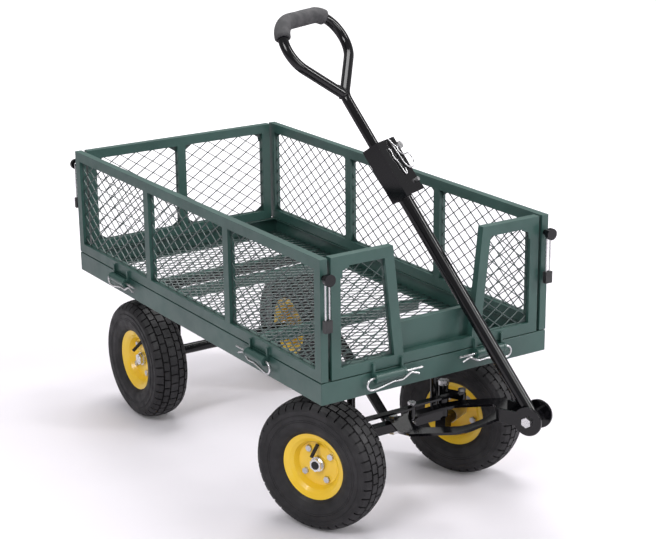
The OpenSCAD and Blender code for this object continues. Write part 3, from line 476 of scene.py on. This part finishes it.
def expanded_floor():
    """A sheet of leaning strands, two zigzags to a row, as wide and deep as the floor's box."""
    low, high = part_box("floor_mesh")
    wide, deep = high[0] - low[0], high[1] - low[1]
    row = deep / DIAMOND_ROWS
    column = wide / (2 * DIAMOND_COLUMNS)
    clear_selection()
    bpy.ops.mesh.primitive_grid_add(
        x_subdivisions=2 * DIAMOND_COLUMNS, y_subdivisions=STRIPS, size=1)
    sheet = bpy.context.object
    sheet.scale = (wide, STRIPS, 1)
    bpy.ops.object.transform_apply(location=False, rotation=False, scale=True)
    bpy.ops.object.mode_set(mode="EDIT")
    pick_faces(sheet, lambda face: abs(face.calc_center_median().y) < 0.1)
    bpy.ops.mesh.delete(type="ONLY_FACE")
    shape = bmesh.from_edit_mesh(sheet.data)
    for corner in shape.verts:
        odd = round((corner.co.x + wide / 2) / column) % 2
        upper_strand = corner.co.y > 0
        far_edge = corner.co.y > 1 or -1 < corner.co.y < 0
        middle = row / 2 + (STRAND / 2 if upper_strand else -STRAND / 2)
        end = row - STRAND / 2 if upper_strand else STRAND / 2
        corner.co.y = (middle if odd else end) + (STRAND / 2 if far_edge else -STRAND / 2)
        corner.co.z = STRAND_RISE if far_edge else 0.0
    bmesh.update_edit_mesh(sheet.data)
    bpy.ops.mesh.select_all(action="SELECT")
    bpy.ops.transform.translate(value=(0, low[1], low[2] + STRAND / 2))
    bpy.ops.mesh.delete_loose()
    bpy.ops.object.mode_set(mode="OBJECT")
    rows = sheet.modifiers.new("rows", "ARRAY")
    rows.count = DIAMOND_ROWS
    rows.use_relative_offset = False
    rows.use_constant_offset = True
    rows.constant_offset_displace = (0, row, 0)
    steel = sheet.modifiers.new("steel", "SOLIDIFY")
    steel.thickness = SHEET_THICKNESS
    steel.offset = 0
    for modifier in ("rows", "steel"):
        bpy.ops.object.modifier_apply(modifier=modifier)
    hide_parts("floor_mesh")
    return hand_over(sheet, "expanded_floor", "cart", "mesh_paint")


floor_sheet = expanded_floor()
print("the floor has", len(floor_sheet.data.polygons), "faces")

# %% [markdown]
# ## The foam grip
# The grip is a thick tube of soft foam pushed over the loop of the handle, so it bends with
# the steel inside it. It is a soft piece, and it is swept as one closed skin: rings along the
# bend, the straight and the other bend, then rounded lips down to the bore. A slow noise
# swells it a little, because squeezed foam is never an exact cylinder.

# %% Find the handle's own frame
HANDLE_LEAN = 35.5


def handle_frame():
    """X runs along the handle's pivot and Z up the handle, with the pivot at the origin."""
    pivot = joints["handle_pivot"]
    across = Vector(pivot["axis"])
    turn = math.atan2(across.y, across.x)
    return (
        Matrix.Translation(Vector(pivot["pos_m"]))
        @ Matrix.Rotation(turn, 4, "Z")
        @ Matrix.Rotation(math.radians(-HANDLE_LEAN), 4, "X")
    )


HANDLE_PLACE = handle_frame()
print("the handle leans", HANDLE_LEAN, "degrees from upright")

# %% Follow the handle's loop
LOOP_START, GRIP_REACH = 0.676, 0.838
LOOP_BEND = 0.055
RIGHT_ANGLE, LEFT_ANGLE = math.radians(50), math.radians(47)
RIGHT_SWEEP, LEFT_SWEEP = math.radians(34), math.radians(62)
FOAM_RADIUS, BORE_RADIUS = 0.0150, 0.00958
LEFT_STEPS, TOP_STEPS, RIGHT_STEPS = 24, 24, 14


def straight_end(angle):
    """How far from the middle the straight top of the loop starts to bend."""
    corner = (GRIP_REACH - LOOP_START) * math.tan(angle)
    return corner - LOOP_BEND * math.tan((math.pi / 2 + angle) / 2)


def foam_path():
    """Points and directions along the middle of the foam, from its left end to its right end."""
    left, right = straight_end(LEFT_ANGLE), straight_end(RIGHT_ANGLE)
    centre_z = GRIP_REACH - LOOP_BEND
    stops = []
    for step in range(LEFT_STEPS + 1):
        angle = LEFT_SWEEP * (1 - step / LEFT_STEPS)
        spot = (-left - LOOP_BEND * math.sin(angle), 0, centre_z + LOOP_BEND * math.cos(angle))
        stops.append((Vector(spot), Vector((math.cos(angle), 0, math.sin(angle)))))
    for step in range(1, TOP_STEPS):
        spot = (-left + (left + right) * step / TOP_STEPS, 0, GRIP_REACH)
        stops.append((Vector(spot), Vector((1, 0, 0))))
    for step in range(RIGHT_STEPS + 1):
        angle = RIGHT_SWEEP * step / RIGHT_STEPS
        spot = (right + LOOP_BEND * math.sin(angle), 0, centre_z + LOOP_BEND * math.cos(angle))
        stops.append((Vector(spot), Vector((math.cos(angle), 0, -math.sin(angle)))))
    return stops


path_stops = foam_path()
print("the foam's path has", len(path_stops), "stops")

# %% Skin the foam
RING_POINTS = 48
LIP_LENGTH, LIP_DEPTH = 0.003, 0.0022
SWELL_WAVES, SWELL_DEPTH = 38.0, 0.0005


def foam_rings(stops):
    """Rings down the outside, curled in at both lips, and back along the bore."""
    travel = [0.0]
    for (here, _), (there, _) in zip(stops, stops[1:]):
        travel.append(travel[-1] + (there - here).length)
    rings = []
    for (spot, along), distance in zip(stops, travel):
        lip = min(distance, travel[-1] - distance)
        curl = max(0.0, 1 - lip / LIP_LENGTH)
        radius = FOAM_RADIUS - LIP_DEPTH * curl * curl
        rings.append((spot, along, radius, SWELL_DEPTH))
    return rings + [(spot, along, BORE_RADIUS, 0.0) for spot, along in reversed(stops)]


def foam_sleeve(stops):
    """One closed skin over all the rings, which stands for the foam of the frame."""
    shape = bmesh.new()
    loops = []
    for spot, along, radius, depth in foam_rings(stops):
        up = Vector((0, 1, 0))
        side = along.cross(up).normalized()
        loop = []
        for point in range(RING_POINTS):
            angle = 2 * math.pi * point / RING_POINTS
            way = up * math.cos(angle) + side * math.sin(angle)
            swell = noise_value((spot + way * radius) * SWELL_WAVES) * depth
            loop.append(shape.verts.new(spot + way * (radius - abs(swell))))
        loops.append(loop)
    for first, second in zip(loops, loops[1:] + loops[:1]):
        for point in range(RING_POINTS):
            following = (point + 1) % RING_POINTS
            shape.faces.new((first[point], second[point], second[following], first[following]))
    bmesh.ops.recalc_face_normals(shape, faces=shape.faces)
    skin = bpy.data.meshes.new("foam_sleeve")
    shape.to_mesh(skin)
    shape.free()
    skin.transform(HANDLE_PLACE)
    for face in skin.polygons:
        face.use_smooth = True
    sleeve = bpy.data.objects.new("foam_sleeve", skin)
    bpy.context.scene.collection.objects.link(sleeve)
    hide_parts("foam_grip")
    return hand_over(sleeve, "foam_sleeve", "handle", "foam")


sleeve = foam_sleeve(path_stops)
print("the foam sleeve has", len(sleeve.data.polygons), "faces")

# %% [markdown]
# ## The wire clips on the hitch bracket
# A wire R-clip locks the hitch pin, and a smaller hooked wire hangs beside it. Bent wire is a
# curve with a round bevel: a few points carry the shape, and it becomes a mesh at the end.

# %% Turn a bent line into a piece
MERGE_DISTANCE = 0.00001


def start_line(name, kind, points, radius, roundness):
    """A curve through points, with a round section, and the one line in it."""
    path = bpy.data.curves.new(name, "CURVE")
    path.dimensions = "3D"
    path.bevel_depth = radius
    path.bevel_resolution = roundness
    line = path.splines.new(kind)
    line.points.add(len(points) - 1)
    for knot, spot in zip(line.points, points):
        knot.co = (*spot, 1)
    return path, line


def finish_line(path, slot_name):
    """Makes a curve a clean mesh and carries it from the handle's frame to its place."""
    name = path.name
    piece = bpy.data.objects.new(name, path)
    bpy.context.scene.collection.objects.link(piece)
    make_active(piece)
    bpy.ops.object.convert(target="MESH")
    piece = bpy.context.object
    bpy.ops.object.mode_set(mode="EDIT")
    bpy.ops.mesh.select_all(action="SELECT")
    bpy.ops.mesh.remove_doubles(threshold=MERGE_DISTANCE)
    bpy.ops.mesh.normals_make_consistent(inside=False)
    bpy.ops.object.mode_set(mode="OBJECT")
    bpy.ops.object.shade_smooth()
    piece.data.transform(HANDLE_PLACE)
    return hand_over(piece, name, "handle", slot_name)


print("lines can become pieces of the handle")

# %% Bend the clips
CLIP_WIRE = 0.0012


def bent_wire(name, points):
    """A round wire with closed ends, bent smoothly past points in the handle's frame."""
    path, line = start_line(name, "NURBS", points, CLIP_WIRE, roundness=3)
    path.resolution_u = 8
    path.use_fill_caps = True
    line.order_u = 3
    line.use_endpoint_u = True
    return finish_line(path, "bright_steel")


bent_wire("locking_clip", [
    (0.020, -0.0205, 0.568), (0.024, -0.0205, 0.540), (0.026, -0.0205, 0.520),
    (0.030, -0.0205, 0.507), (0.042, -0.0205, 0.501), (0.055, -0.0205, 0.506),
    (0.061, -0.0205, 0.519), (0.055, -0.0205, 0.531), (0.044, -0.0210, 0.529),
    (0.034, -0.0225, 0.531), (0.026, -0.0232, 0.538), (0.029, -0.0230, 0.547),
    (0.021, -0.0232, 0.553), (0.018, -0.0225, 0.564),
])
bent_wire("hooked_clip", [
    (0.006, -0.0200, 0.550), (0.010, -0.0200, 0.541), (0.005, -0.0200, 0.533),
    (0.011, -0.0200, 0.524), (0.012, -0.0200, 0.508), (0.014, -0.0200, 0.496),
    (0.021, -0.0200, 0.495), (0.022, -0.0200, 0.506),
])
print("two clips hang on the hitch bracket")

# %% [markdown]
# ## Rounded edges on the steel
# Square tube and folded sheet never have knife edges: the mill leaves a small radius, and that
# radius is what draws the thin bright line along every corner. The solids have sharp edges, so
# each steel frame gets a copy whose loose triangles are merged, whose flat faces are joined
# again, and whose sharp edges a Bevel rounds. Weighted normals then keep the wide faces flat
# to the light. The bevel takes material off the outer corners, so the copies keep to the box.

# %% Round the steel
BODIES = frame["record"]["behaviour"]["bodies"]
BODY_OF = {node: body for body, members in BODIES.items() for node in members}
SLOT_OF = {part["node"]: part["material_slot"] for part in frame["record"]["subparts"]}
EDGE_RADII = {
    "tray_rim": 0.0009,
    "front_panel_frame": 0.0016,
    "left_panel_frame": 0.0016,
    "right_panel_frame": 0.0016,
    "back_panel_frame": 0.0016,
    "front_sheet": 0.0005,
    "floor_bars": 0.0008,
    "front_axle_frame": 0.0009,
    "rear_axle_frame": 0.0009,
    "centre_brace": 0.0009,
    "tongue_yoke": 0.0007,
    "coupler_ears": 0.0007,
    "hitch_box": 0.0007,
    "left_knuckle": 0.0008,
    "right_knuckle": 0.0008,
}
FLAT_ANGLE = math.radians(0.5)
CORNER_ANGLE = math.radians(40)
SMOOTH_ANGLE = math.radians(50)


def round_edges(node, radius):
    """A copy of a node with its sharp edges rounded, which stands for the node."""
    copy = bpy.data.objects.new("rounded_" + node, nodes[node].data.copy())
    bpy.context.scene.collection.objects.link(copy)
    make_active(copy)
    bpy.ops.object.mode_set(mode="EDIT")
    bpy.ops.mesh.select_all(action="SELECT")
    bpy.ops.mesh.remove_doubles(threshold=MERGE_DISTANCE)
    bpy.ops.mesh.customdata_custom_splitnormals_clear()
    bpy.ops.mesh.dissolve_limited(angle_limit=FLAT_ANGLE)
    bpy.ops.object.mode_set(mode="OBJECT")
    rounding = copy.modifiers.new("rounding", "BEVEL")
    rounding.width = radius
    rounding.segments = 2
    rounding.limit_method = "ANGLE"
    rounding.angle_limit = CORNER_ANGLE
    bpy.ops.object.modifier_apply(modifier="rounding")
    bpy.ops.object.shade_smooth_by_angle(angle=SMOOTH_ANGLE)
    flatten = copy.modifiers.new("flatten", "WEIGHTED_NORMAL")
    flatten.keep_sharp = True
    flatten.weight = 100
    bpy.ops.object.modifier_apply(modifier="flatten")
    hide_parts(node)
    return hand_over(copy, "rounded_" + node, BODY_OF[node], SLOT_OF[node])


rounded = [round_edges(node, radius) for node, radius in EDGE_RADII.items()]
print(len(rounded), "steel pieces have rounded edges")

# %% [markdown]
# ## Ribs on the tyres
# A moulded tyre carries thin rings on its sidewalls, left by the grooves of the mould, and
# they show the round of the rubber. Each ring is a torus laid on the sidewall, and the six
# rings of one tyre are joined, turned to the wheel's own axle and carried to its middle.

# %% Lay the ribs
RIB_RINGS = ((0.0890, 0.0391), (0.0925, 0.0393), (0.1010, 0.0387))
RIB_RADIUS = 0.0010
RIB_SEGMENTS, RIB_SIDES = 96, 6


def tyre_ribs(wheel):
    """Six rings, at each radius and offset from the tyre's middle, on both sidewalls."""
    clear_selection()
    rings = []
    for ring_radius, offset in RIB_RINGS:
        for side in (-1, 1):
            bpy.ops.mesh.primitive_torus_add(
                major_radius=ring_radius, minor_radius=RIB_RADIUS,
                major_segments=RIB_SEGMENTS, minor_segments=RIB_SIDES,
                location=(side * offset, 0, 0), rotation=(0, math.pi / 2, 0))
            rings.append(bpy.context.object)
    for ring in rings:
        ring.select_set(True)
    bpy.ops.object.join()
    ribs = bpy.context.object
    bpy.ops.object.transform_apply(location=True, rotation=True, scale=True)
    bpy.ops.object.shade_smooth()
    low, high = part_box(wheel + "_tyre")
    middle = (Vector(low) + Vector(high)) / 2
    axle = Vector(joints[wheel + "_wheel_spin"]["axis"])
    ribs.data.transform(
        Matrix.Translation(middle) @ Matrix.Rotation(math.atan2(axle.y, axle.x), 4, "Z"))
    return hand_over(ribs, wheel + "_tyre_ribs", wheel + "_wheel", "tyre_rubber")


WHEELS = ("front_left", "front_right", "rear_left", "rear_right")
for wheel in WHEELS:
    tyre_ribs(wheel)
print(len(WHEELS), "tyres have ribs")

# %% [markdown]
# ## Weld beads
# The loop comes back and is welded to the handle tube, and the hitch bracket is welded round
# it at both ends. A weld is a row of overlapping drops, so its bead is a closed line whose
# radius swells and shrinks from drop to drop. On the loop it follows the saddle where the
# leg's round meets the tube's round, and at the bracket it is a plain ring.

# %% Run the beads
TUBE_RADIUS = 0.0095
DROP_SWELL, DROP_NECK = 1.12, 0.86
SADDLE_RISE = 0.004
RING_RADIUS = 0.0128


def weld_bead(name, points, radius):
    """A closed row of weld drops along points, given in the handle's frame."""
    path, line = start_line(name, "POLY", points, radius, roundness=2)
    line.use_cyclic_u = True
    for count, knot in enumerate(line.points):
        knot.radius = DROP_SWELL if count % 3 == 0 else DROP_NECK
    return finish_line(path, "black_paint")


def loop_saddle(drops):
    """The saddle line where the loop's left leg meets the handle tube."""
    points = []
    for drop in range(drops):
        turn = 2 * math.pi * drop / drops
        across = TUBE_RADIUS * math.cos(turn)
        along = (across * math.cos(LEFT_ANGLE) + abs(across)) / math.sin(LEFT_ANGLE)
        along = max(along, SADDLE_RISE)
        points.append((
            across * math.cos(LEFT_ANGLE) - along * math.sin(LEFT_ANGLE),
            TUBE_RADIUS * math.sin(turn),
            LOOP_START + across * math.sin(LEFT_ANGLE) + along * math.cos(LEFT_ANGLE),
        ))
    return points


def bracket_ring(height, drops):
    """A level ring round the handle tube, at a height above the handle's pivot."""
    turns = [2 * math.pi * drop / drops for drop in range(drops)]
    return [
        Vector((RING_RADIUS * math.cos(turn), RING_RADIUS * math.sin(turn), height))
        for turn in turns
    ]


weld_bead("loop_weld", loop_saddle(drops=36), radius=0.0016)
for name, height in (("bracket_weld_low", 0.4575), ("bracket_weld_high", 0.5485)):
    weld_bead(name, bracket_ring(height, drops=42), radius=0.0013)
print("the handle's welds are run")

# %% [markdown]
# ## The end

# %% Finish
print("the scene is dressed")
